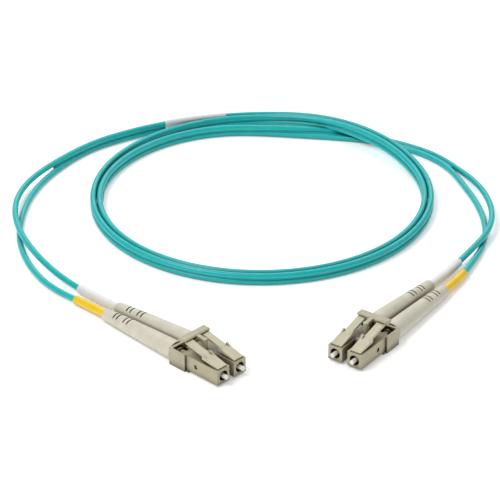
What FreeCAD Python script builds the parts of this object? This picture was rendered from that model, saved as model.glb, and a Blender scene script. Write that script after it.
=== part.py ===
"""Duplex fibre optic patch cord: two duplex plug sets joined by a two-tube zip cord.

Row frame: +X to the right, +Y to the back, +Z up, Z = 0 on the table. The origin is on the table
at the middle of the box around the two plug sets. Each plug set is drawn in its own frame, with
x = 0 on the nose face and +x the way the plug is pushed in, and is then placed on the table.
Millimetres.
"""
import FreeCAD
import Part
import Sketcher
import math
import os
import re

Vector = FreeCAD.Vector
ALONG_X = FreeCAD.Rotation(Vector(0, 1, 0), 90)
ACROSS_Y = FreeCAD.Rotation(Vector(1, 0, 0), 90)

doc = FreeCAD.newDocument("patch_cord")
sheet = doc.addObject("Spreadsheet::Sheet", "Sizes")
NODES = []

# Driving dimensions. Positions along a plug are negative behind its nose face.
SIZES = {
    "plug_spacing": 6.25,
    "plug_side": 4.52,
    "plug_axis_height": 2.85,
    "housing_length": 13.2,
    "nose_bore_radius": 1.5,
    "nose_bore_depth": 4.2,
    "chamber_radius": 1.85,
    "latch_slot_width": 3.56,
    "latch_slot_depth": 0.26,
    "window_length": 1.1,
    "window_back": 8.3,
    "ferrule_radius": 0.625,
    "ferrule_reach": 1.5,
    "ferrule_seat_radius": 0.6,
    "ferrule_seat_front": 4.1,
    "ferrule_length": 7.0,
    "ferrule_chamfer": 0.15,
    "flange_radius": 1.75,
    "flange_front": 4.3,
    "flange_length": 1.5,
    "barrel_radius": 0.95,
    "barrel_length": 2.2,
    "spring_wire_radius": 0.13,
    "spring_mean_radius": 1.25,
    "spring_turns": 6,
    "stop_front": 11.2,
    "stop_radius": 1.8,
    "stop_shoulder_back": 13.9,
    "post_radius": 1.25,
    "post_back": 21.0,
    "fibre_bore_radius": 0.6,
    "fibre_radius": 0.45,
    "eyelet_radius": 1.65,
    "eyelet_front": 16.3,
    "boot_front": 18.15,
    "boot_back": 47.0,
    "boot_front_radius": 2.8,
    "boot_back_radius": 1.8,
    "boot_cavity_radius": 1.92,
    "boot_cavity_back": 21.9,
    "boot_droop": 1.8,
    "boot_toe_in": 1.5,
    "latch_pivot_back": 1.2,
    "latch_pivot_height": 2.32,
    "latch_pivot_radius": 0.3,
    "latch_running_gap": 0.04,
    "latch_block_width": 3.4,
    "latch_arm_width": 2.3,
    "collar_front": 12.0,
    "collar_back": 18.0,
    "collar_half_width": 6.0,
    "collar_inner_half": 5.43,
    "collar_floor": 0.55,
    "collar_wall_top": 5.2,
    "collar_hole_radius": 2.0,
    "rib_half_width": 0.8,
    "rib_top": 3.6,
    "rib_front": 6.1,
    "pin_back": 7.0,
    "pin_height": 4.6,
    "pin_radius": 0.4,
    "knuckle_radius": 0.85,
    "knuckle_gap": 0.05,
    "fork_half_width": 0.42,
    "knuckle_half_width": 0.38,
    "bar_front": 12.9,
    "bar_back": 15.8,
    "bar_underside": 8.42,
    "bar_top": 8.95,
    "bar_half_width": 4.7,
    "stalk_half_width": 0.65,
    "stalk_post_back": 10.2,
    "stalk_post_radius": 0.75,
    "cord_diameter": 1.8,
    "pair_spacing": 1.9,
    "sleeve_diameter": 2.6,
    "yellow_sleeve_length": 12.7,
    "white_sleeve_length": 16.3,
    "label_thickness": 0.2,
    "label_length": 20.0,
    "label_end_gap": 11.4,
    "coil_centre_x": -4.0,
    "coil_centre_y": 79.3,
    "coil_radius": 51.2,
    "coil_pitch": 1.9,
    "coil_bulge": 1.1,
    "coil_bulge_angle": 240,
    "coil_tuck": 5.6,
    "coil_tuck_start": 620,
    "crossing_angle": 41,
    "crossing_flat": 14,
    "crossing_ramp": 26,
    "crossing_lift": 2.2,
    "crossing_inset": 2.0,
}
for row, (alias, value) in enumerate(SIZES.items(), start=1):
    sheet.set("A%d" % row, alias)
    sheet.set("B%d" % row, str(value))
    sheet.setAlias("B%d" % row, alias)
doc.recompute()

# Where each plug set lies on the table: the middle of its nose and its heading.
PLUG_SETS = {
    "left": {"nose": (-12.521, -22.121), "heading": -44.5, "yellow_side": -1},
    "right": {"nose": (18.079, -14.821), "heading": -125.3, "yellow_side": 1},
}


def size(alias):
    """A driving dimension as the sheet holds it."""
    return float(sheet.get(alias))


def expr(text):
    """The text as an expression on the sheet: every alias in it is read from there."""
    return re.sub("[a-z_]+",
                  lambda word: "Sizes." + word.group() if word.group() in SIZES else word.group(), text)


def value_of(text):
    return float(sheet.evalExpression(expr(text)))


def block(name, x_span, y_span, z_span):
    """A box between three pairs of planes, each plane given as an expression on the sheet."""
    box = doc.addObject("Part::Box", name)
    for span, side, axis in zip((x_span, y_span, z_span), ("Length", "Width", "Height"), "xyz"):
        box.setExpression(side, expr("(%s) - (%s)" % (span[1], span[0])))
        box.setExpression("Placement.Base." + axis, expr(span[0]))
    return box


def rod(name, radius, x_span, y_at="0", z_at="0"):
    """A cylinder along the plug."""
    cylinder = doc.addObject("Part::Cylinder", name)
    cylinder.setExpression("Radius", expr(radius))
    cylinder.setExpression("Height", expr("(%s) - (%s)" % (x_span[1], x_span[0])))
    cylinder.Placement = FreeCAD.Placement(Vector(0, 0, 0), ALONG_X)
    for axis, text in zip("xyz", (x_span[0], y_at, z_at)):
        cylinder.setExpression("Placement.Base." + axis, expr(text))
    return cylinder


def cross_rod(name, radius, half_length, x_at, z_at):
    """A cylinder across the plug, centred on y = 0."""
    cylinder = doc.addObject("Part::Cylinder", name)
    cylinder.setExpression("Radius", expr(radius))
    cylinder.setExpression("Height", expr("2 * (%s)" % half_length))
    cylinder.Placement = FreeCAD.Placement(Vector(0, 0, 0), ACROSS_Y)
    for axis, text in zip("xyz", (x_at, half_length, z_at)):
        cylinder.setExpression("Placement.Base." + axis, expr(text))
    return cylinder


def upright_rod(name, radius, x_at, z_span):
    """A cylinder standing upright on the plug's middle plane."""
    cylinder = doc.addObject("Part::Cylinder", name)
    cylinder.setExpression("Radius", expr(radius))
    cylinder.setExpression("Height", expr("(%s) - (%s)" % (z_span[1], z_span[0])))
    cylinder.setExpression("Placement.Base.x", expr(x_at))
    cylinder.setExpression("Placement.Base.z", expr(z_span[0]))
    return cylinder


def cut(name, base, tools):
    result = doc.addObject("Part::Cut", name)
    result.Base = base
    result.Tool = tools[0] if len(tools) == 1 else fuse(name + "_tools", tools)
    return result


def fuse(name, pieces):
    result = doc.addObject("Part::MultiFuse", name)
    result.Shapes = pieces
    return result


def new_body(name):
    return doc.addObject("PartDesign::Body", name)


def new_sketch(body, role):
    sketch = body.newObject("Sketcher::SketchObject", body.Name + "_sketch")
    plane = [feature for feature in body.Origin.OriginFeatures if feature.Role == role][0]
    sketch.AttachmentSupport = [(plane, "")]
    sketch.MapMode = "FlatFace"
    return sketch


def bind(sketch, kind, geometry, point, text):
    """Hold one coordinate of a sketched point at a place read from the sheet."""
    number = sketch.addConstraint(Sketcher.Constraint(kind, -1, 1, geometry, point, value_of(text)))
    sketch.setExpression("Constraints[%d]" % number, expr(text))


def outline(body, role, corners):
    """A closed sketch through corners, each a pair of sheet expressions measured from the origin."""
    sketch = new_sketch(body, role)
    places = [Vector(value_of(first), value_of(second), 0) for first, second in corners]
    count = len(places)
    for index in range(count):
        sketch.addGeometry(Part.LineSegment(places[index], places[(index + 1) % count]), False)
    for index in range(count):
        sketch.addConstraint(Sketcher.Constraint("Coincident", index, 2, (index + 1) % count, 1))
    for index, (first, second) in enumerate(corners):
        bind(sketch, "DistanceX", index, 1, first)
        bind(sketch, "DistanceY", index, 1, second)
    return sketch


def circle_sketch(body, role, centre, radius):
    sketch = new_sketch(body, role)
    middle = Vector(value_of(centre[0]), value_of(centre[1]), 0)
    sketch.addGeometry(Part.Circle(middle, Vector(0, 0, 1), value_of(radius)), False)
    bind(sketch, "DistanceX", 0, 3, centre[0])
    bind(sketch, "DistanceY", 0, 3, centre[1])
    number = sketch.addConstraint(Sketcher.Constraint("Radius", 0, value_of(radius)))
    sketch.setExpression("Constraints[%d]" % number, expr(radius))
    return sketch


def thicken(body, sketch, width, feature="Pad"):
    """Pad or pocket a sketch by the same amount to both sides of its plane."""
    result = body.newObject("PartDesign::" + feature, body.Name + "_" + feature.lower())
    result.Profile = sketch
    result.SideType = "Symmetric"
    result.setExpression("Length", expr(width))
    sketch.Visibility = False
    return result


def turned(name, corners):
    """A body turned about the plug's axis from corners given as (x, radius)."""
    body = new_body(name)
    sketch = outline(body, "XY_Plane", corners)
    revolution = body.newObject("PartDesign::Revolution", name + "_revolution")
    revolution.Profile = sketch
    revolution.ReferenceAxis = (sketch, ["H_Axis"])
    revolution.Angle = 360
    return body


def finish(part, label, placement):
    part.Label = label
    part.Placement = placement
    NODES.append(part)
    return part


def free_shape(label, shape):
    """A sub-part whose shape is worked out here, because no primitive or sketch fits it."""
    part = doc.addObject("Part::Feature", label)
    part.Shape = shape
    return finish(part, label, FreeCAD.Placement())


# ---------------------------------------------------------------- one plug and what is inside it

def plug_housing(name):
    """Square shell: round nose opening, round chamber, latch slot on top, snap window each side."""
    shell = block(name + "_shell", ("-housing_length", "0"), ("-plug_side / 2", "plug_side / 2"),
                  ("-plug_side / 2", "plug_side / 2"))
    nose = rod(name + "_nose", "nose_bore_radius", ("-nose_bore_depth", "1"))
    chamber = rod(name + "_chamber", "chamber_radius", ("-housing_length - 1", "-nose_bore_depth"))
    slot = block(name + "_slot", ("-housing_length - 1", "-latch_pivot_back - 0.1"),
                 ("-latch_slot_width / 2", "latch_slot_width / 2"),
                 ("plug_side / 2 - latch_slot_depth", "plug_side"))
    groove = cross_rod(name + "_groove", "latch_pivot_radius + latch_running_gap", "latch_slot_width / 2",
                       "-latch_pivot_back", "latch_pivot_height")
    windows = block(name + "_windows",
                    ("-window_back - window_length / 2", "-window_back + window_length / 2"),
                    ("-plug_side", "plug_side"), ("-0.6", "0.6"))
    return cut(name, shell, [nose, chamber, slot, groove, windows])


def plug_latch(name):
    """Springy arm: pivot rib and wide block at the nose, two locking shoulders, narrow arm to the tip."""
    body = new_body(name)
    top = "latch_pivot_height"
    blocks = [("-0.4", top + " + 0.02"), ("-0.4", top + " + 0.3"), ("-5.0", top + " + 1.43"),
              ("-6.1", top + " + 2.15"), ("-6.5", top + " + 2.15"), ("-6.5", top + " + 0.78"),
              ("-1.5", top + " + 0.02")]
    thicken(body, outline(body, "XZ_Plane", blocks), "latch_block_width")
    gap = [("-5.0", top + " + 1.43"), ("-6.8", top + " + 1.78"), ("-6.8", top + " + 3"),
           ("-5.0", top + " + 3")]
    thicken(body, outline(body, "XZ_Plane", gap), "latch_arm_width", "Pocket")
    arm = [("-5.8", top + " + 0.9"), ("-5.8", top + " + 1.58"), ("-6.6", top + " + 1.74"),
           ("-13.2", top + " + 3.16"), ("-13.4", top + " + 2.9"), ("-13.3", top + " + 2.4"),
           ("-12.6", top + " + 2.28")]
    thicken(body, outline(body, "XZ_Plane", arm), "latch_arm_width")
    rib = circle_sketch(body, "XZ_Plane", ("-latch_pivot_back", top), "latch_pivot_radius")
    thicken(body, rib, "latch_block_width")
    return body


def ferrule(name):
    """Ceramic pin with a chamfered tip and a slightly tapered end that sits in the flange."""
    back = "ferrule_reach - ferrule_length"
    return turned(name, [(back, "0"), (back, "ferrule_seat_radius"),
                         ("-ferrule_seat_front", "ferrule_radius"),
                         ("ferrule_reach - ferrule_chamfer", "ferrule_radius"),
                         ("ferrule_reach", "ferrule_radius - ferrule_chamfer"), ("ferrule_reach", "0")])


def ferrule_flange(name):
    """Metal holder: disc that stops against the housing's shoulder, and the barrel in the spring."""
    disc_back = "-flange_front - flange_length"
    ferrule_back = "ferrule_reach - ferrule_length"
    taper = ("(ferrule_length - ferrule_reach - flange_front)"
             " / (ferrule_length - ferrule_reach - ferrule_seat_front)")
    mouth = "ferrule_seat_radius + (ferrule_radius - ferrule_seat_radius) * " + taper
    barrel_back = disc_back + " - barrel_length"
    return turned(name, [("-flange_front", mouth), ("-flange_front", "flange_radius"),
                         (disc_back, "flange_radius"), (disc_back, "barrel_radius"),
                         (barrel_back, "barrel_radius"),
                         (barrel_back, "fibre_radius"), (ferrule_back, "fibre_radius"),
                         (ferrule_back, "ferrule_seat_radius")])


def buffered_fibre(name):
    front = "ferrule_reach - ferrule_length"
    return turned(name, [("-post_back", "0"), ("-post_back", "fibre_radius"), (front, "fibre_radius"),
                         (front, "0")])


def coil_spring(name):
    """Outer shape of the coiled wire between the flange's disc and the spring stop: one ridge a turn."""
    front = "-flange_front - flange_length"
    travel = "(stop_front - flange_front - flange_length)"
    inner = "spring_mean_radius - spring_wire_radius"
    outer = "spring_mean_radius + spring_wire_radius"
    corners = [(front, inner)]
    for turn in range(SIZES["spring_turns"]):
        for share, radius in ((0.15, "spring_mean_radius"), (0.3, outer), (0.7, outer),
                              (0.85, "spring_mean_radius")):
            corners.append(("%s - %s * %.3f / spring_turns" % (front, travel, turn + share), radius))
    corners.append(("-stop_front", inner))
    return turned(name, corners)


def spring_stop(name):
    """Rear body: cup round the spring, snap barbs in the windows, shoulder and ribbed crimp post."""
    cup_front = "-window_back + window_length"
    cup = turned(name + "_cup", [(cup_front, "1.5"), (cup_front, "stop_radius"),
                                 ("-stop_shoulder_back", "stop_radius"),
                                 ("-stop_shoulder_back", "post_radius"), ("-post_back", "post_radius"),
                                 ("-post_back", "fibre_bore_radius"), ("-stop_front", "fibre_bore_radius"),
                                 ("-stop_front", "1.5")])
    shoulder = block(name + "_shoulder", ("-stop_shoulder_back", "-housing_length"), ("-2", "2"),
                     ("-2", "2"))
    bore = rod(name + "_bore", "fibre_bore_radius", ("-stop_shoulder_back - 1", "-housing_length + 1"))
    barbs = [block(name + "_barb", ("-window_back - 0.4", "-window_back + 0.4"), span, ("-0.45", "0.45"))
             for span in (("-1.95", "-1.65"), ("1.65", "1.95"))]
    return cut(name, fuse(name + "_solid", [cup, shoulder] + barbs), [bore])


def crimp_eyelet(name):
    return turned(name, [("-post_back", "post_radius"), ("-post_back", "eyelet_radius"),
                         ("-eyelet_front", "eyelet_radius"), ("-eyelet_front", "post_radius")])


def boot(name):
    """Tapered bend relief with two pairs of slots near the cord end, cut in turn from each side."""
    shape = turned(name + "_cone", [("-boot_front", "boot_cavity_radius"),
                                    ("-boot_front", "boot_front_radius"),
                                    ("-30", "boot_front_radius - 0.34"),
                                    ("-37.5", "boot_front_radius - 0.58"),
                                    ("-boot_back", "boot_back_radius"), ("-boot_back", "cord_diameter / 2"),
                                    ("-boot_cavity_back", "cord_diameter / 2"),
                                    ("-boot_cavity_back", "boot_cavity_radius")])
    slots = []
    for back, reach in ((37.0, 1.5), (38.5, 1.45), (41.3, 1.3), (42.7, 1.25)):
        span = ("-%s" % back, "-%s" % (back - 0.45))
        sideways = ("-5", "5")
        for low, high in ((str(reach), "5"), ("-5", "-%s" % reach)):
            slots.append(block(name + "_slot", span, sideways, (low, high)))
    return cut(name, shape, slots)


# ---------------------------------------------------------------- the clip that makes two plugs one

def duplex_clip(name):
    """Open-topped collar round both plugs, with a rib between them that carries the trigger."""
    wall = ("-collar_half_width", "collar_half_width")
    inner = ("-collar_inner_half", "collar_inner_half")
    shell = block(name + "_shell", ("-collar_back", "-collar_front"), wall, ("0", "collar_wall_top"))
    hollow = block(name + "_hollow", ("-collar_back + 0.8", "0"), inner, ("collar_floor", "20"))
    holes = [rod(name + "_hole", "collar_hole_radius", ("-collar_back - 1", "-collar_back + 1"),
                 y, "plug_axis_height")
             for y in ("-plug_spacing / 2", "plug_spacing / 2")]
    collar = cut(name + "_collar", shell, [hollow] + holes)
    rib = block(name + "_rib", ("-collar_back", "-rib_front"), ("-rib_half_width", "rib_half_width"),
                ("0", "rib_top"))
    ears = cross_rod(name + "_ears", "knuckle_radius", "rib_half_width", "-pin_back", "pin_height")
    web = block(name + "_web", ("-pin_back - knuckle_radius", "-pin_back + knuckle_radius"),
                ("-rib_half_width", "rib_half_width"), ("rib_top - 1", "pin_height"))
    nubs = [block(name + "_nub", ("-collar_front", "-collar_front + 1.1"), span, ("0", "collar_floor"))
            for span in (("-5.6", "-4.6"), ("4.6", "5.6"))]
    fork = block(name + "_fork", ("-pin_back - 1.3", "0"), ("-fork_half_width", "fork_half_width"),
                 ("rib_top - 0.5", "20"))
    pin_hole = cross_rod(name + "_pin_hole", "pin_radius", "2", "-pin_back", "pin_height")
    return cut(name, fuse(name + "_solid", [collar, rib, ears, web] + nubs), [fork, pin_hole])


def trigger(name):
    """T-shaped lever: knuckle on the pin, low arm, round post, and a bar over both latch tips."""
    knuckle = cross_rod(name + "_knuckle", "knuckle_radius - 0.05", "knuckle_half_width", "-pin_back",
                        "pin_height")
    neck = new_body(name + "_neck")
    neck_sides = [("-pin_back + 0.3", "pin_height + 0.7"), ("-pin_back - 1.3", "pin_height + 0.85"),
                  ("-pin_back - 1.3", "pin_height - 0.05"), ("-pin_back", "pin_height - 0.7")]
    thicken(neck, outline(neck, "XZ_Plane", neck_sides), "2 * knuckle_half_width")
    arm = new_body(name + "_arm")
    arm_sides = [("-pin_back - 1.15", "pin_height + 0.85"), ("-stalk_post_back", "pin_height + 0.95"),
                 ("-stalk_post_back", "pin_height + 0.15"), ("-pin_back - 1.15", "pin_height + 0.05")]
    thicken(arm, outline(arm, "XZ_Plane", arm_sides), "2 * stalk_half_width")
    post = upright_rod(name + "_post", "stalk_post_radius", "-stalk_post_back",
                       ("pin_height + 0.15", "bar_top - 0.2"))
    bridge = new_body(name + "_bridge")
    bridge_sides = [("-stalk_post_back", "bar_top - 0.3"), ("-bar_front - 0.2", "bar_top - 0.1"),
                    ("-bar_front - 0.9", "bar_underside"), ("-bar_front - 0.2", "bar_underside - 0.35"),
                    ("-stalk_post_back", "bar_top - 1.2")]
    thicken(bridge, outline(bridge, "XZ_Plane", bridge_sides), "2 * stalk_half_width - 0.1")
    bar = new_body(name + "_bar")
    bar_sides = [("-bar_front", "bar_underside"), ("-bar_front", "bar_underside + 0.25"),
                 ("-bar_front - 0.4", "bar_top"), ("-bar_back + 0.5", "bar_top"),
                 ("-bar_back", "bar_top - 0.35"),
                 ("-bar_back", "bar_underside - 0.5"), ("-bar_front - 0.75", "bar_underside - 0.5"),
                 ("-bar_front - 0.75", "bar_underside")]
    thicken(bar, outline(bar, "XZ_Plane", bar_sides), "2 * bar_half_width")
    pin_hole = cross_rod(name + "_pin_hole", "pin_radius + knuckle_gap", "2", "-pin_back", "pin_height")
    return cut(name, fuse(name + "_solid", [knuckle, neck, arm, post, bridge, bar]), [pin_hole])


def trigger_pin(name):
    half = "rib_half_width"
    return turned(name, [("-" + half, "0"), ("-" + half, "pin_radius"), (half, "pin_radius"), (half, "0")])


# ---------------------------------------------------------------- places on the table

def set_place(side):
    nose_x, nose_y = PLUG_SETS[side]["nose"]
    turn = FreeCAD.Rotation(Vector(0, 0, 1), PLUG_SETS[side]["heading"])
    return FreeCAD.Placement(Vector(nose_x, nose_y, 0), turn)


def plug_place(side, colour):
    """The plug of one colour in a set: off to its side, at the height of the plug's axis."""
    direction = PLUG_SETS[side]["yellow_side"] * (1 if colour == "yellow" else -1)
    offset = Vector(0, direction * size("plug_spacing") / 2, size("plug_axis_height"))
    return set_place(side) * FreeCAD.Placement(offset, FreeCAD.Rotation())


def boot_place(side, colour):
    """A boot droops towards the table and leans towards its neighbour, about its front face's middle."""
    front = Vector(-size("boot_front"), 0, 0)
    lean = PLUG_SETS[side]["yellow_side"] * (1 if colour == "yellow" else -1) * size("boot_toe_in")
    droop = FreeCAD.Rotation(Vector(0, 1, 0), -size("boot_droop"))
    toe_in = FreeCAD.Rotation(Vector(0, 0, 1), lean)
    turned_front = FreeCAD.Placement(front, toe_in.multiply(droop))
    return plug_place(side, colour) * turned_front * FreeCAD.Placement(front * -1, FreeCAD.Rotation())


# ---------------------------------------------------------------- the cord

# Route of each tube on the table from the plug to the coil, after the two points at its boot.
# The white tube passes over the yellow one beside each plug set; in the pair it is the upper one.
LOW = 0.95
HIGH = LOW + SIZES["pair_spacing"]
BENDS_IN_BOOT = 42.0
CLEAR_OF_BOOT = (55.0, 1.6)
ROUTES = {
    ("left", "white"): [(-62.0, 30.5, 1.6), (-71.8, 45.5, 3.0), (-77.0, 61.3, 3.0), (-77.7, 76.3, HIGH),
                        (-72.7, 91.1, HIGH), (-58.3, 109.9, HIGH), (-45.8, 118.5, HIGH + 0.1),
                        (-32.2, 124.8, HIGH + 0.25), (-18.0, 128.9, HIGH + 0.25), (-4.0, 130.5, HIGH)],
    ("left", "yellow"): [(-64.2, 24.9, 1.3), (-71.1, 37.4, LOW), (-75.1, 51.3, LOW), (-75.6, 65.8, LOW),
                         (-73.8, 80.3, LOW), (-68.6, 94.3, LOW), (-58.3, 109.9, LOW),
                         (-45.8, 118.5, LOW + 0.1),
                         (-32.2, 124.8, LOW + 0.25), (-18.0, 128.9, LOW + 0.25), (-4.0, 130.5, LOW)],
    ("right", "white"): [(55.4, 42.9, 2.4), (62.0, 53.8, 3.0), (64.4, 64.9, 3.0), (63.5, 77.3, 2.6),
                         (60.6, 88.7, 1.5), (55.9, 97.9, LOW), (50.8, 105.5, LOW), (43.9, 111.6, LOW),
                         (32.9, 117.7, LOW), (21.2, 120.7, 1.6), (9.1, 121.1, 2.65), (-4.0, 120.9, HIGH)],
    ("right", "yellow"): [(56.6, 39.3, 1.3), (60.9, 51.1, LOW), (62.1, 63.3, LOW), (60.3, 76.3, LOW),
                          (57.0, 87.5, LOW), (54.0, 96.8, LOW), (49.3, 104.1, LOW), (42.6, 110.1, LOW),
                          (32.1, 115.5, LOW), (20.8, 118.3, LOW), (8.9, 119.8, LOW), (-4.0, 120.9, LOW)],
}


def full_route(side, colour):
    """All points of one tube, from the crimp inside the boot to the coil."""
    boot_axis = boot_place(side, colour)
    inside = boot_axis.multVec(Vector(-size("boot_cavity_back"), 0, 0))
    points = [inside, boot_axis.multVec(Vector(-BENDS_IN_BOOT, 0, 0))]
    out = boot_axis.multVec(Vector(-CLEAR_OF_BOOT[0], 0, 0))
    points.append(Vector(out.x, out.y, CLEAR_OF_BOOT[1]))
    return points + [Vector(*point) for point in ROUTES[(side, colour)]]


def rounded_edges(points, label):
    """Straight runs joined by tangent arcs, each as large as its two runs allow."""
    edges = []
    last = points[0]
    radii = []
    for before, corner, after in zip(points, points[1:], points[2:]):
        run_in = corner - before
        run_out = after - corner
        half_turn = run_in.getAngle(run_out) / 2
        reach = 0.45 * min(run_in.Length, run_out.Length)
        radius = reach / math.tan(half_turn)
        radii.append(radius)
        run_in.normalize()
        run_out.normalize()
        start = corner - run_in * reach
        end = corner + run_out * reach
        inward = (run_out - run_in).normalize()
        middle = corner + inward * (radius / math.cos(half_turn) - radius)
        edges.append(Part.LineSegment(last, start).toShape())
        edges.append(Part.Arc(start, middle, end).toShape())
        last = end
    edges.append(Part.LineSegment(last, points[-1]).toShape())
    print(label, "arc radii:", " ".join("%.0f" % radius for radius in radii))
    return edges


def stretch(edges, start, length):
    """The part of a path between two distances along it."""
    pieces = []
    passed = 0.0
    for edge in edges:
        low = max(start - passed, 0.0)
        high = min(start + length - passed, edge.Length)
        if high - low > 1e-6:
            first = edge.getParameterByLength(low)
            pieces.append(edge.Curve.toShape(first, edge.getParameterByLength(high)))
        passed += edge.Length
    return pieces


def section_along(edges, make_section):
    """A solid made by carrying a section along a path; the section is made at the path's start."""
    path = Part.Wire(edges)
    start = edges[0].valueAt(edges[0].FirstParameter)
    heading = edges[0].tangentAt(edges[0].FirstParameter)
    return path.makePipeShell([make_section(start, heading)], True, False)


def round_section(radius):
    return lambda start, heading: Part.Wire([Part.makeCircle(radius, start, heading)])


def upright_stadium(half_height, radius):
    """Two half circles joined by upright sides, across a level path."""
    def make(start, heading):
        across = heading.cross(Vector(0, 0, 1)).normalize() * radius
        up = Vector(0, 0, half_height)
        crown = Vector(0, 0, half_height + radius)
        low_right, high_right = start + across - up, start + across + up
        low_left, high_left = start - across - up, start - across + up
        return Part.Wire([Part.LineSegment(low_right, high_right).toShape(),
                          Part.Arc(high_right, start + crown, high_left).toShape(),
                          Part.LineSegment(high_left, low_left).toShape(),
                          Part.Arc(low_left, start - crown, low_right).toShape()])
    return make


def smooth_step(amount):
    amount = max(0.0, min(1.0, amount))
    return amount * amount * (3 - 2 * amount)


def crossing_share(angle):
    """1 where the first turn and the start of the second ride over the cord's way out, else 0."""
    away = abs(angle % 360 - size("crossing_angle"))
    away = min(away, 360 - away)
    return smooth_step(1 - (away - size("crossing_flat")) / size("crossing_ramp")) if angle < 470 else 0.0


def coil_radius(angle):
    """Radius of the pair's middle after so many degrees, clockwise from the back of the coil."""
    radius = (size("coil_radius") - size("coil_pitch") * angle / 360
              - size("crossing_inset") * crossing_share(angle))
    past = max(0.0, angle - size("coil_tuck_start")) / 100
    radius += size("coil_bulge") * max(0.0, math.cos(math.radians(angle - size("coil_bulge_angle")))) ** 2
    return radius - size("coil_tuck") * past * past


def coil_point(angle, offset, height=0.0):
    radius = coil_radius(angle) + offset
    turn = math.radians(angle)
    return Vector(size("coil_centre_x") + radius * math.sin(turn),
                  size("coil_centre_y") + radius * math.cos(turn),
                  height)


def spiral_loop(first, last, offset):
    """Once round the coil along one side of a turn, closed by a step at the back."""
    points = [coil_point(angle, offset) for angle in range(first, last + 1, 10)]
    curve = Part.BSplineCurve()
    curve.interpolate(points)
    return Part.Wire([curve.toShape(), Part.LineSegment(points[-1], points[0]).toShape()])


def coil_shape():
    """Outer shape of two turns of the upright pair, humped over the cord that leaves under them."""
    half = size("cord_diameter") / 2
    height = LOW * 2 + size("pair_spacing")
    rise = Vector(0, 0, height)
    outside = Part.Face(spiral_loop(0, 360, half))
    inside = Part.Face(spiral_loop(360, 720, -half))
    ring = outside.cut(inside).extrude(rise)
    middle = coil_point(size("crossing_angle"), 0)
    way_out = Part.makeBox(34, 6.4, 40, Vector(-17, -3.2, -20))
    way_out.rotate(Vector(0, 0, 0), Vector(0, 0, 1), -23)
    way_out.translate(Vector(middle.x - 0.5, middle.y + 0.5, 0))
    lift = size("crossing_lift")
    hump = ring.common(way_out)
    hump.translate(Vector(0, 0, lift))
    return ring.cut(way_out).fuse(hump).removeSplitter()


def stadium_band():
    """The printed band round both tubes: a stretch of the path midway between them."""
    lower = [Vector(*point) for point in ROUTES[("left", "yellow")][-5:]]
    middle = [point + Vector(0, 0, SIZES["pair_spacing"] / 2) for point in lower]
    edges = rounded_edges(middle, "label")
    total = sum(edge.Length for edge in edges)
    covered = stretch(edges, total - size("label_end_gap") - size("label_length"), size("label_length"))
    half_height = size("pair_spacing") / 2
    radius = size("cord_diameter") / 2
    outside = section_along(covered, upright_stadium(half_height, radius + size("label_thickness")))
    return outside.cut(section_along(covered, upright_stadium(half_height, radius)))


# ---------------------------------------------------------------- assembly

for side in PLUG_SETS:
    for colour in ("yellow", "white"):
        here = plug_place(side, colour)
        name = side + "_" + colour
        finish(plug_housing(name + "_housing"), name + "_plug_housing", here)
        finish(plug_latch(name + "_latch_arm"), name + "_latch", here)
        finish(ferrule(name + "_pin"), name + "_ferrule", here)
        finish(ferrule_flange(name + "_holder"), name + "_ferrule_flange", here)
        finish(buffered_fibre(name + "_fibre"), name + "_buffered_fibre", here)
        finish(spring_stop(name + "_stop"), name + "_spring_stop", here)
        finish(crimp_eyelet(name + "_eyelet"), name + "_crimp_eyelet", here)
        finish(boot(name + "_relief"), name + "_boot", boot_place(side, colour))
        finish(coil_spring(name + "_coil_spring"), name + "_spring", here)
    there = set_place(side)
    finish(duplex_clip(side + "_holder"), side + "_duplex_clip", there)
    finish(trigger(side + "_lever"), side + "_trigger", there)
    pin_place = FreeCAD.Placement(Vector(-size("pin_back"), 0, size("pin_height")),
                                  FreeCAD.Rotation(Vector(0, 0, 1), 90))
    finish(trigger_pin(side + "_pivot"), side + "_trigger_pin", there * pin_place)

boot_exit = size("boot_back") - size("boot_cavity_back")
for (side, colour) in ROUTES:
    name = side + "_" + colour
    edges = rounded_edges(full_route(side, colour), name)
    cord = free_shape(name + "_cord", section_along(edges, round_section(size("cord_diameter") / 2)))
    length = sum(edge.Length for edge in edges)
    section = math.pi * size("cord_diameter") ** 2 / 4
    print(name, "length %.1f volume ratio %.4f" % (length, cord.Shape.Volume / (section * length)))
    covered = stretch(edges, boot_exit + 0.05, size(colour + "_sleeve_length"))
    sleeve = section_along(covered, round_section(size("sleeve_diameter") / 2))
    bore = section_along(covered, round_section(size("cord_diameter") / 2))
    free_shape(name + "_id_sleeve", sleeve.cut(bore))

free_shape("cord_coil", coil_shape())
free_shape("cord_label", stadium_band())

doc.recompute()
os.makedirs("parts", exist_ok=True)
for entry in doc.Objects:
    if "Invalid" in entry.State or "Error" in entry.State:
        raise RuntimeError("%s is not sound: %s" % (entry.Label, entry.State))
plugs = FreeCAD.BoundBox()
for part in NODES:
    shape = part.Shape
    if shape.isNull() or not shape.isValid() or len(shape.Solids) != 1:
        raise RuntimeError("%s is not one valid solid" % part.Label)
    shape.exportStep("parts/%s.step" % part.Label)
    box = shape.BoundBox
    if not any(word in part.Label for word in ("cord", "sleeve")):
        plugs.add(box)
    print("%-32s volume %9.3f  low %.2f" % (part.Label, shape.Volume, box.ZMin))
print("plug sets: x %.3f to %.3f, y %.3f to %.3f, z %.3f to %.3f"
      % (plugs.XMin, plugs.XMax, plugs.YMin, plugs.YMax, plugs.ZMin, plugs.ZMax))
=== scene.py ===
"""Duplex fibre optic patch cord: looks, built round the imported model. Metres, row frame.

Two round tubes run from one plug set to the other. Between the plug sets they are joined by a thin
web into a flat pair that stands on edge, lies in two turns, and passes out under its own turns.
"""
import bpy
import math
from mathutils import Matrix
from mathutils import Vector


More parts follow.
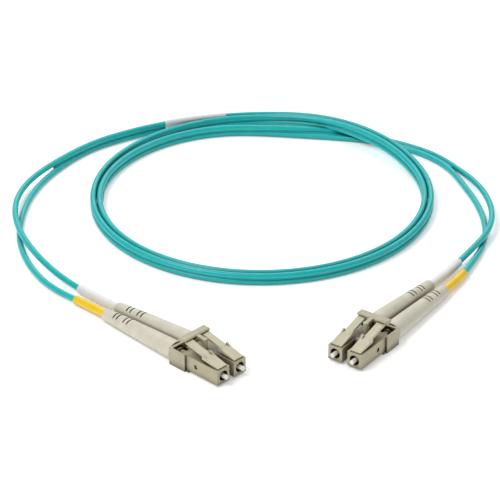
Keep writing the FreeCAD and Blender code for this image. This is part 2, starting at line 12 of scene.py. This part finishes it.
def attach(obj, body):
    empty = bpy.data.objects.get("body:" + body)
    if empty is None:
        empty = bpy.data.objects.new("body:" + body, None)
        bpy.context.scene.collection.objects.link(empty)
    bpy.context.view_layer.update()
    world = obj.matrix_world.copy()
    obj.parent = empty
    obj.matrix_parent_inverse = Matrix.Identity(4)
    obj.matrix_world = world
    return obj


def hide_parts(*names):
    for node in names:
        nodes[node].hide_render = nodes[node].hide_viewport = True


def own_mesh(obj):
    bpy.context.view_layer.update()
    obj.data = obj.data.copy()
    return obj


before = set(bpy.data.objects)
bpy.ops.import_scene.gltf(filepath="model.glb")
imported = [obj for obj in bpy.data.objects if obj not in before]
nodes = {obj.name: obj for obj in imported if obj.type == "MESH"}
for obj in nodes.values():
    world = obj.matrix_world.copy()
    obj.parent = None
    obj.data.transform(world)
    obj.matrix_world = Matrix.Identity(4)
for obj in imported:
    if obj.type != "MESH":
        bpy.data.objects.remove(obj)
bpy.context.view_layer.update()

ROOT = "cord_and_plugs"
MM = 0.001
TUBE_RADIUS = 0.9 * MM
PAIR_SPACING = 1.9 * MM

# The plugs and boots, in millimetres.
PLUG_AXIS_HEIGHT = 2.85
PLUG_SPACING = 6.25
BOOT_FRONT = 18.15
BOOT_BACK = 47.0
BOOT_CAVITY_BACK = 21.9
BOOT_DROOP = math.radians(1.8)
BOOT_TOE_IN = math.radians(1.5)
BENDS_IN_BOOT = 42.0
CLEAR_OF_BOOT = (55.0, 1.6)

# Sleeves and label, in metres.
SLEEVE_START = (BOOT_BACK - BOOT_CAVITY_BACK + 0.05) * MM
SLEEVE_LENGTHS = {"yellow": 12.7 * MM, "white": 16.3 * MM}
SLEEVE_RADIUS = 1.3 * MM
SLEEVE_RIPPLE = 0.00001
LABEL_START = 27.65 * MM
LABEL_LENGTH = 20.0 * MM
LABEL_RADIUS = 1.1 * MM

# Sides of a sleeve or label, and the share of its radius at each ring from its end inwards.
WRAP_SIDES = 40
END_ROLL = (0.86, 0.92, 0.97, 1.0)

# The coil, in millimetres, and in degrees clockwise from its back.
COIL_CENTRE = (-4.0, 79.3)
COIL_RADIUS = 51.2
COIL_PITCH = 1.9
COIL_BULGE = 1.1
COIL_BULGE_ANGLE = 240
COIL_TUCK = 5.6
COIL_TUCK_START = 620
COIL_STEP = 15
COIL_STEPS = 49
CROSSING_ANGLE = 41
CROSSING_FLAT = 14
CROSSING_RAMP = 26
CROSSING_END = 470
CROSSING_LIFT = 2.2
CROSSING_INSET = 2.0

# The web between the tubes, in millimetres. It stops where the pair splits, before each
# plug set. The last two say how far on and back along the lower tube, in points, its nearest point
# is looked for.
WEB_HALF_THICKNESS = 0.42
WEB_INSET = 0.35
WEB_WIDEST = 2.35
WEB_SPLIT_Y = 87.3
WEB_SPLIT_X = 52
WEB_LOOK_AHEAD = 60
WEB_LOOK_BACK = 5

# The ferrule springs, in millimetres along the plug's own frame.
SPRING_FRONT = -5.8
SPRING_BACK = -11.2
SPRING_WIRE_RADIUS = 0.13
SPRING_MEAN_RADIUS = 1.25
SPRING_TURNS = 6
STEPS_A_TURN = 24
WIRE_SIDES = 10

# Where each plug set lies: middle of its nose in millimetres, heading in degrees,
# side of the yellow channel.
PLUG_SETS = {
    "left": ((-12.521, -22.121), -44.5, -1),
    "right": ((18.079, -14.821), -125.3, 1),
}
CHANNELS = ("yellow", "white")


# ---------------------------------------------------------------- places

def plug_matrix(side, colour):
    """The frame of one plug: x towards its nose, z up, origin on the nose face's middle."""
    nose, heading, yellow_side = PLUG_SETS[side]
    across = yellow_side * (1 if colour == "yellow" else -1) * PLUG_SPACING / 2
    place = Matrix.Translation(Vector((nose[0], nose[1], 0)) * MM)
    turn = Matrix.Rotation(math.radians(heading), 4, "Z")
    offset = Matrix.Translation(Vector((0, across, PLUG_AXIS_HEIGHT)) * MM)
    return place @ turn @ offset


def boot_matrix(side, colour):
    """The plug's frame drooped and leant to its neighbour about the middle of the boot's front face."""
    nose, heading, yellow_side = PLUG_SETS[side]
    lean = yellow_side * (1 if colour == "yellow" else -1) * BOOT_TOE_IN
    front = Vector((-BOOT_FRONT * MM, 0, 0))
    turn = Matrix.Rotation(lean, 4, "Z") @ Matrix.Rotation(-BOOT_DROOP, 4, "Y")
    return plug_matrix(side, colour) @ Matrix.Translation(front) @ turn @ Matrix.Translation(-front)


# ---------------------------------------------------------------- routes of the two tubes

# Points in millimetres. LOW and HIGH are the heights of the lower and the upper tube of the pair.
LOW = 0.95
HIGH = LOW + 1.9
LEFT_ROUTES = {
    "white": [(-62.0, 30.5, 1.6), (-71.8, 45.5, 3.0), (-77.0, 61.3, 3.0), (-77.7, 76.3, HIGH),
              (-72.7, 91.1, HIGH)],
    "yellow": [(-64.2, 24.9, 1.3), (-71.1, 37.4, LOW), (-75.1, 51.3, LOW), (-75.6, 65.8, LOW),
               (-73.8, 80.3, LOW),
               (-68.6, 94.3, LOW)],
}
LABEL_STRETCH = [(-58.3, 109.9, 0.0), (-45.8, 118.5, 0.1), (-32.2, 124.8, 0.25), (-18.0, 128.9, 0.25)]
RIGHT_ROUTES = {
    "white": [(9.1, 121.1, 2.65), (21.2, 120.7, 1.6), (32.9, 117.7, LOW), (43.9, 111.6, LOW),
              (50.8, 105.5, LOW),
              (55.9, 97.9, LOW), (60.6, 88.7, 1.5), (63.5, 77.3, 2.6), (64.4, 64.9, 3.0), (62.0, 53.8, 3.0),
              (55.4, 42.9, 2.4)],
    "yellow": [(8.9, 119.8, LOW), (20.8, 118.3, LOW), (32.1, 115.5, LOW), (42.6, 110.1, LOW),
               (49.3, 104.1, LOW),
               (54.0, 96.8, LOW), (57.0, 87.5, LOW), (60.3, 76.3, LOW), (62.1, 63.3, LOW),
               (60.9, 51.1, LOW),
               (56.6, 39.3, 1.3)],
}


def smooth_step(amount):
    amount = max(0.0, min(1.0, amount))
    return amount * amount * (3 - 2 * amount)


def crossing_share(angle):
    """1 where the turns ride over the pair's way out, easing to 0 on both sides."""
    away = abs(angle % 360 - CROSSING_ANGLE)
    away = min(away, 360 - away)
    return smooth_step(1 - (away - CROSSING_FLAT) / CROSSING_RAMP) if angle < CROSSING_END else 0.0


def coil_points(height):
    """Two turns, clockwise from the back; the second tucks inwards before it leaves."""
    points = []
    for step in range(COIL_STEPS):
        angle = COIL_STEP * step
        radius = COIL_RADIUS - COIL_PITCH * angle / 360 - CROSSING_INSET * crossing_share(angle)
        radius -= COIL_TUCK * (max(0.0, angle - COIL_TUCK_START) / 100) ** 2
        radius += COIL_BULGE * max(0.0, math.cos(math.radians(angle - COIL_BULGE_ANGLE))) ** 2
        radius /= math.cos(math.radians(COIL_STEP / 2))
        turn = math.radians(angle)
        x = COIL_CENTRE[0] + radius * math.sin(turn)
        y = COIL_CENTRE[1] + radius * math.cos(turn)
        points.append((x, y, height + CROSSING_LIFT * crossing_share(angle)))
    return points


def leaving_boot(side, colour):
    """From the crimp inside a boot, out through it and a little way on."""
    droop = boot_matrix(side, colour)
    inside = droop @ Vector((-BOOT_CAVITY_BACK * MM, 0, 0))
    bending = droop @ Vector((-BENDS_IN_BOOT * MM, 0, 0))
    clear = droop @ Vector((-CLEAR_OF_BOOT[0] * MM, 0, 0))
    clear.z = CLEAR_OF_BOOT[1] * MM
    return [inside, bending, clear]


def route(colour):
    """Every control point of one tube, from the left plug set to the right one."""
    height = HIGH if colour == "white" else LOW
    middle = LEFT_ROUTES[colour] + [(x, y, height + z) for x, y, z in LABEL_STRETCH]
    middle += coil_points(height) + RIGHT_ROUTES[colour]
    points = leaving_boot("left", colour) + [Vector(point) * MM for point in middle]
    return points + list(reversed(leaving_boot("right", colour)))


def smooth_curve(name, points):
    curve = bpy.data.curves.new(name, "CURVE")
    curve.dimensions = "3D"
    spline = curve.splines.new("NURBS")
    spline.points.add(len(points) - 1)
    for control, point in zip(spline.points, points):
        control.co = (point[0], point[1], point[2], 1.0)
    spline.order_u = 3
    spline.use_endpoint_u = True
    curve.resolution_u = 10
    thing = bpy.data.objects.new(name, curve)
    bpy.context.scene.collection.objects.link(thing)
    return thing


def line_of(points):
    """The smooth line through a route, as points along its spline."""
    thin = smooth_curve("line", points)
    bpy.context.view_layer.update()
    mesh = bpy.data.meshes.new_from_object(thin)
    line = [vertex.co.copy() for vertex in mesh.vertices]
    bpy.data.meshes.remove(mesh)
    bpy.data.objects.remove(thin)
    return line


def stretch(line, start, length):
    """The part of a line between two distances along it, with its ends cut to measure."""
    points = []
    passed = 0.0
    for here, there in zip(line, line[1:]):
        step = (there - here).length
        low = max(start - passed, 0.0)
        high = min(start + length - passed, step)
        if high > low:
            if not points:
                points.append(here.lerp(there, low / step))
            points.append(here.lerp(there, high / step))
        passed += step
    return points


def line_length(line):
    return sum((there - here).length for here, there in zip(line, line[1:]))


def even_points(line, count):
    """Points the same distance apart along a line."""
    total = line_length(line)
    found = [line[0].copy()]
    passed = 0.0
    wanted = total / count
    for here, there in zip(line, line[1:]):
        step = (there - here).length
        while step > 0 and passed + step >= wanted - 1e-12 and len(found) <= count:
            found.append(here.lerp(there, min(1.0, (wanted - passed) / step)))
            wanted = total * len(found) / count
        passed += step
    return found


# ---------------------------------------------------------------- materials

def linear(red, green, blue):
    """A display colour, 0 to 255, as the linear values a shader takes."""
    def channel(value):
        value /= 255
        return value / 12.92 if value <= 0.04045 else ((value + 0.055) / 1.055) ** 2.4
    return (channel(red), channel(green), channel(blue), 1.0)


def shaded(colour, share):
    return tuple(part * share for part in colour[:3]) + (1.0,)


def noise(tree, coords, scale, detail=2.0, roughness=0.5):
    texture = tree.nodes.new("ShaderNodeTexNoise")
    texture.inputs["Scale"].default_value = scale
    texture.inputs["Detail"].default_value = detail
    texture.inputs["Roughness"].default_value = roughness
    tree.links.new(coords, texture.inputs["Vector"])
    return texture.outputs["Fac"]


def spread(tree, value, low, high):
    """A 0 to 1 texture value mapped onto a range."""
    remap = tree.nodes.new("ShaderNodeMapRange")
    remap.inputs["From Min"].default_value = 0.3
    remap.inputs["From Max"].default_value = 0.7
    remap.inputs["To Min"].default_value = low
    remap.inputs["To Max"].default_value = high
    tree.links.new(value, remap.inputs["Value"])
    return remap.outputs["Result"]


def tinted(tree, value, dark, light):
    ramp = tree.nodes.new("ShaderNodeValToRGB")
    ramp.color_ramp.elements[0].position = 0.3
    ramp.color_ramp.elements[0].color = dark
    ramp.color_ramp.elements[1].position = 0.7
    ramp.color_ramp.elements[1].color = light
    tree.links.new(value, ramp.inputs["Fac"])
    return ramp.outputs["Color"]


def painted_nook_shade(tree, colour, width, shade):
    """Painted shade: a colour multiplied by a dark tint where other surfaces stand close in front of it.
    Ambient occlusion finds those places, so corners, gaps and undersides near the table come out darker in
    the colour itself.
    """
    painted_shade_occlusion = tree.nodes.new("ShaderNodeAmbientOcclusion")
    painted_shade_occlusion.samples = 12
    painted_shade_occlusion.inputs["Distance"].default_value = width
    curve = tree.nodes.new("ShaderNodeMapRange")
    curve.inputs["From Min"].default_value = 0.35
    curve.inputs["From Max"].default_value = 0.95
    tree.links.new(painted_shade_occlusion.outputs["AO"], curve.inputs["Value"])
    ramp = tree.nodes.new("ShaderNodeValToRGB")
    ramp.color_ramp.elements[0].color = shade
    ramp.color_ramp.elements[1].color = (1.0, 1.0, 1.0, 1.0)
    tree.links.new(curve.outputs["Result"], ramp.inputs["Fac"])
    mix = tree.nodes.new("ShaderNodeMix")
    mix.data_type = "RGBA"
    mix.blend_type = "MULTIPLY"
    mix.inputs["Factor"].default_value = 1.0
    tree.links.new(colour, mix.inputs["A"])
    tree.links.new(ramp.outputs["Color"], mix.inputs["B"])
    return mix.outputs["Result"]


def surface(name, colour, roughness, grain, depth, cloud=260.0, variation=0.08, metal=0.0, glow=0.0,
            coat=0.0,
            rounding=0.0, painted_shade_width=0.0, painted_shade_tint=(0.3, 0.24, 0.15, 1.0)):
    """Moulded, extruded or turned surface: cloudy tone, fine grain in gloss and relief, softened edges,
    and shade painted into its colour in corners and gaps.

    The last two arguments are the width of those corners and gaps and the tint of the painted shade.
    """
    material = bpy.data.materials.new(name)
    material.use_nodes = True
    tree = material.node_tree
    shader = tree.nodes["Principled BSDF"]
    coords = tree.nodes.new("ShaderNodeTexCoord").outputs["Object"]
    tone = tinted(tree, noise(tree, coords, cloud, 3.0), shaded(colour, 1 - variation),
                  shaded(colour, 1 + variation))
    # Shade painted into the base colour in corners and gaps.
    if painted_shade_width:
        tone = painted_nook_shade(tree, tone, painted_shade_width, painted_shade_tint)
    tree.links.new(tone, shader.inputs["Base Color"])
    gloss = spread(tree, noise(tree, coords, grain / 3, 2.0), roughness - 0.05, roughness + 0.07)
    tree.links.new(gloss, shader.inputs["Roughness"])
    bump = tree.nodes.new("ShaderNodeBump")
    bump.inputs["Strength"].default_value = 0.5
    bump.inputs["Distance"].default_value = depth
    tree.links.new(noise(tree, coords, grain, 3.0), bump.inputs["Height"])
    if rounding:
        edge = tree.nodes.new("ShaderNodeBevel")
        edge.samples = 6
        edge.inputs["Radius"].default_value = rounding
        tree.links.new(edge.outputs["Normal"], bump.inputs["Normal"])
    tree.links.new(bump.outputs["Normal"], shader.inputs["Normal"])
    shader.inputs["Metallic"].default_value = metal
    shader.inputs["Coat Weight"].default_value = coat
    if glow:
        shader.inputs["Subsurface Weight"].default_value = glow
        shader.inputs["Subsurface Radius"].default_value = (1.0, 0.9, 0.7)
        shader.inputs["Subsurface Scale"].default_value = 0.0006
    return material


# Tints of the shade painted into the colours below, in corners, in gaps and on flanks near the table.
TEAL_PAINTED_SHADE = (0.02, 0.42, 0.43, 1.0)
RESIN_PAINTED_SHADE = (0.1, 0.075, 0.035, 1.0)
JACKET = surface("aqua_jacket", linear(0, 180, 180), 0.34, 5200.0, 0.00002, cloud=300.0, variation=0.06,
                 painted_shade_width=1.8 * MM, painted_shade_tint=TEAL_PAINTED_SHADE)
HOUSING = surface("plug_resin", linear(176, 169, 139), 0.38, 4200.0, 0.00002, glow=0.06, rounding=0.00012,
                  painted_shade_width=2.6 * MM, painted_shade_tint=RESIN_PAINTED_SHADE)
LATCH = surface("latch_resin", linear(196, 190, 162), 0.36, 4200.0, 0.00002, glow=0.06, rounding=0.00012,
                painted_shade_width=1.2 * MM, painted_shade_tint=RESIN_PAINTED_SHADE)
CLIP = surface("clip_resin", linear(176, 169, 141), 0.4, 4200.0, 0.00002, glow=0.06, rounding=0.00012,
               painted_shade_width=2.6 * MM, painted_shade_tint=RESIN_PAINTED_SHADE)
STOP = surface("stop_resin", linear(160, 152, 122), 0.42, 4200.0, 0.00002, rounding=0.0001,
               painted_shade_width=2.6 * MM, painted_shade_tint=RESIN_PAINTED_SHADE)
BOOT = surface("boot_rubber", linear(208, 203, 186), 0.52, 3000.0, 0.00003, glow=0.08, rounding=0.00012,
               painted_shade_width=1.5 * MM, painted_shade_tint=(0.3, 0.27, 0.2, 1.0))
CERAMIC = surface("ferrule_ceramic", linear(236, 235, 230),
                  0.16, 6000.0, 0.000004, variation=0.02, glow=0.2)
NICKEL = surface("flange_nickel", linear(190, 190, 186), 0.28, 5000.0, 0.00001, metal=1.0, rounding=0.00008)
WIRE = surface("spring_wire", linear(168, 168, 165), 0.3, 6000.0, 0.00001, metal=1.0)
CRIMP = surface("crimp_metal", linear(128, 116, 88), 0.4, 3600.0, 0.00002, metal=1.0)
BUFFER = surface("fibre_buffer", linear(214, 214, 206), 0.3, 5000.0, 0.00001, variation=0.03)
YELLOW = surface("yellow_sleeve", linear(240, 200, 8), 0.34, 3600.0, 0.00003, variation=0.05, coat=0.15,
                 painted_shade_width=2.0 * MM, painted_shade_tint=(0.45, 0.3, 0.1, 1.0))
WHITE = surface("white_sleeve", linear(226, 228, 228), 0.36, 3600.0, 0.00003, variation=0.03, coat=0.15,
                painted_shade_width=2.0 * MM, painted_shade_tint=(0.4, 0.4, 0.4, 1.0))
WRAP = surface("label_film", linear(214, 219, 219), 0.3, 2400.0, 0.00004, variation=0.05, coat=0.2,
               painted_shade_width=2.0 * MM, painted_shade_tint=(0.4, 0.42, 0.42, 1.0))

NODE_LOOKS = {
    "plug_housing": HOUSING,
    "latch": LATCH,
    "duplex_clip": CLIP,
    "trigger": CLIP,
    "trigger_pin": CLIP,
    "spring_stop": STOP,
    "boot": BOOT,
    "ferrule": CERAMIC,
    "ferrule_flange": NICKEL,
    "crimp_eyelet": CRIMP,
    "buffered_fibre": BUFFER,
}
SOFT_EDGES = {"plug_housing": 0.12, "duplex_clip": 0.12, "trigger": 0.12, "boot": 0.1, "spring_stop": 0.08}


def soften(node, width):
    """Clean the flat faces and round the hard edges, as a mould leaves them."""
    weld = node.modifiers.new("weld", "WELD")
    weld.merge_threshold = 1e-6
    flat = node.modifiers.new("flat", "DECIMATE")
    flat.decimate_type = "DISSOLVE"
    flat.angle_limit = math.radians(0.5)
    edges = node.modifiers.new("edges", "BEVEL")
    edges.limit_method = "ANGLE"
    edges.angle_limit = math.radians(40)
    edges.width = width * MM
    edges.segments = 3
    edges.harden_normals = True
    edges.use_clamp_overlap = True


for name, node in nodes.items():
    for ending, look in NODE_LOOKS.items():
        if name.endswith("_" + ending):
            node.data.materials.clear()
            node.data.materials.append(look)
            if ending in SOFT_EDGES:
                soften(node, SOFT_EDGES[ending])


# ---------------------------------------------------------------- pieces along the cord

def mesh_piece(name, verts, faces, look, smooth=True):
    mesh = bpy.data.meshes.new(name)
    mesh.from_pydata([tuple(vert) for vert in verts], [], faces)
    mesh.validate()
    mesh.update()
    for polygon in mesh.polygons:
        polygon.use_smooth = smooth
    mesh.materials.append(look)
    piece = bpy.data.objects.new(name, mesh)
    bpy.context.scene.collection.objects.link(piece)
    return piece


def rings_to_mesh(name, rings, look):
    """Closed skin through a row of rings with the same number of points."""
    count = len(rings[0])
    verts = [point for ring in rings for point in ring]
    faces = []
    for row in range(len(rings) - 1):
        for index in range(count):
            after = (index + 1) % count
            faces.append((row * count + index, row * count + after, (row + 1) * count + after,
                          (row + 1) * count + index))
    faces.append(tuple(reversed(range(count))))
    faces.append(tuple(range((len(rings) - 1) * count, len(rings) * count)))
    return mesh_piece(name, verts, faces, look)


def tangents(points):
    directions = []
    for index in range(len(points)):
        before = points[max(index - 1, 0)]
        after = points[min(index + 1, len(points) - 1)]
        directions.append((after - before).normalized())
    return directions


def wrapped(name, line, radius, half_height, look, count=90, ripple=0.0):
    """A sleeve round a line: round, or a stadium when half_height is given, with rolled ends."""
    points = even_points(line, count)
    rings = []
    for index, (point, along) in enumerate(zip(points, tangents(points))):
        side = along.cross(Vector((0, 0, 1))).normalized()
        up = side.cross(along).normalized()
        from_end = min(index, count - index)
        roll = END_ROLL[min(from_end, 3)]
        size = radius * roll + ripple * math.sin(index * 0.9) * math.sin(index * 0.37)
        ring = []
        for step in range(WRAP_SIDES):
            turn = 2 * math.pi * step / WRAP_SIDES
            rise = math.sin(turn)
            lift = half_height if rise > 1e-6 else -half_height if rise < -1e-6 else 0.0
            ring.append(point + side * size * math.cos(turn) + up * (size * rise + lift))
        rings.append(ring)
    return rings_to_mesh(name, rings, look)


lines = {}
for colour in CHANNELS:
    points = route(colour)
    lines[colour] = line_of(points)
    cord = smooth_curve(colour + "_tube", points)
    cord.data.bevel_depth = TUBE_RADIUS
    cord.data.bevel_resolution = 7
    cord.data.use_fill_caps = True
    cord.data.materials.append(JACKET)
    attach(cord, ROOT)

sleeves = {colour: [] for colour in CHANNELS}
for colour in CHANNELS:
    for side, line in (("left", lines[colour]), ("right", list(reversed(lines[colour])))):
        look = YELLOW if colour == "yellow" else WHITE
        covered = stretch(line, SLEEVE_START, SLEEVE_LENGTHS[colour])
        sleeve = wrapped(side + "_" + colour + "_sleeve", covered, SLEEVE_RADIUS, 0.0, look,
                         ripple=SLEEVE_RIPPLE)
        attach(sleeve, ROOT)
        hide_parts(side + "_" + colour + "_id_sleeve")
        sleeves[colour].append(sleeve)


def web():
    """The thin bridge that joins the two tubes while they run side by side."""
    upper = lines["white"]
    lower = lines["yellow"]
    verts = []
    start = 0
    for index in range(len(upper)):
        here = upper[index]
        window = range(start, min(start + WEB_LOOK_AHEAD, len(lower)))
        nearest = min(window, key=lambda other: (lower[other] - here).length)
        gap = (lower[nearest] - here).length
        start = max(nearest - WEB_LOOK_BACK, start)
        split = here.y < WEB_SPLIT_Y * MM and abs(here.x) > WEB_SPLIT_X * MM
        if gap > WEB_WIDEST * MM or split:
            continue
        along = (upper[min(index + 1, len(upper) - 1)] - upper[index - 1]).normalized()
        between = (lower[nearest] - here).normalized()
        thick = along.cross(between).normalized() * WEB_HALF_THICKNESS * MM
        top = here + between * WEB_INSET * MM
        low = lower[nearest] - between * WEB_INSET * MM
        verts.append((top + thick, top - thick, low - thick, low + thick))
    return rings_to_mesh("cord_web", [list(ring) for ring in verts], JACKET)


bridge = web()
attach(bridge, ROOT)

label_points = [Vector((x, y, (LOW + HIGH) / 2 + z)) * MM for x, y, z in LABEL_STRETCH]
label_points += [Vector(point) * MM for point in coil_points((LOW + HIGH) / 2)[:2]]
label_line = stretch(line_of(label_points), LABEL_START, LABEL_LENGTH)
label = wrapped("cord_label_wrap", label_line, LABEL_RADIUS, PAIR_SPACING / 2, WRAP, count=60)
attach(label, ROOT)
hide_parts("cord_label")

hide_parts("left_white_cord", "right_white_cord", "cord_coil")
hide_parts("left_yellow_cord", "right_yellow_cord")


# ---------------------------------------------------------------- ferrule springs

def spring_piece(side, colour):
    """Six turns of round wire between the flange and the spring stop."""
    place = plug_matrix(side, colour)
    front = SPRING_FRONT - SPRING_WIRE_RADIUS
    back = SPRING_BACK + SPRING_WIRE_RADIUS
    steps = SPRING_TURNS * STEPS_A_TURN
    rings = []
    for step in range(steps + 1):
        turn = 2 * math.pi * step / STEPS_A_TURN
        x = back + (front - back) * step / steps
        out = Vector((0, math.cos(turn), math.sin(turn)))
        centre = Vector((x, 0, 0)) + out * SPRING_MEAN_RADIUS
        ring = []
        for part in range(WIRE_SIDES):
            angle = 2 * math.pi * part / WIRE_SIDES
            offset = out * math.cos(angle) + Vector((1, 0, 0)) * math.sin(angle)
            ring.append(place @ ((centre + offset * SPRING_WIRE_RADIUS) * MM))
        rings.append(ring)
    return rings_to_mesh(side + "_" + colour + "_spring_wire", rings, WIRE)


for side in PLUG_SETS:
    for colour in CHANNELS:
        wire = spring_piece(side, colour)
        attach(wire, ROOT)
        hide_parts(side + "_" + colour + "_spring")
        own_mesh(wire)


# ---------------------------------------------------------------- table, light and camera

def floor():
    mesh = bpy.data.meshes.new("table")
    reach = 3.0
    mesh.from_pydata([(-reach, -reach, 0), (reach, -reach, 0), (reach, reach, 0), (-reach, reach, 0)], [],
                     [(0, 1, 2, 3)])
    material = bpy.data.materials.new("table_white")
    material.use_nodes = True
    shader = material.node_tree.nodes["Principled BSDF"]
    shader.inputs["Base Color"].default_value = (0.93, 0.93, 0.93, 1.0)
    shader.inputs["Emission Color"].default_value = (1.0, 1.0, 1.0, 1.0)
    shader.inputs["Emission Strength"].default_value = 0.3
    shader.inputs["Roughness"].default_value = 0.9
    shader.inputs["Specular IOR Level"].default_value = 0.1
    mesh.materials.append(material)
    table = bpy.data.objects.new("table", mesh)
    bpy.context.scene.collection.objects.link(table)


def lamp(name, place, size, power):
    light = bpy.data.lights.new(name, "AREA")
    light.size = size
    light.energy = power
    thing = bpy.data.objects.new(name, light)
    thing.location = place
    aim = Vector((0, 0.05, 0)) - Vector(place)
    thing.rotation_euler = aim.to_track_quat("-Z", "Y").to_euler()
    bpy.context.scene.collection.objects.link(thing)


floor()
lamp("soft_key", (-0.5, -0.25, 0.85), 0.45, 5.4)
lamp("soft_fill", (0.7, 0.2, 0.8), 0.8, 1.2)
lamp("soft_back", (0.0, 0.9, 0.75), 0.9, 5.0)
world = bpy.data.worlds.new("studio")
world.use_nodes = True
world.node_tree.nodes["Background"].inputs["Color"].default_value = (1.0, 1.0, 1.0, 1.0)
world.node_tree.nodes["Background"].inputs["Strength"].default_value = 0.36
bpy.context.scene.world = world
bpy.context.scene.view_settings.view_transform = "Standard"

camera_data = bpy.data.cameras.new("camera")
camera_data.lens = 201.6
camera_data.sensor_width = 36.0
camera_data.clip_start = 0.01
camera = bpy.data.objects.new("camera", camera_data)
camera.location = (-0.0076, -0.6606, 0.4031)
view = Vector((-0.0076, 0.0489, 0.0)) - camera.location
camera.rotation_euler = view.to_track_quat("-Z", "Y").to_euler()
bpy.context.scene.collection.objects.link(camera)
bpy.context.scene.camera = camera
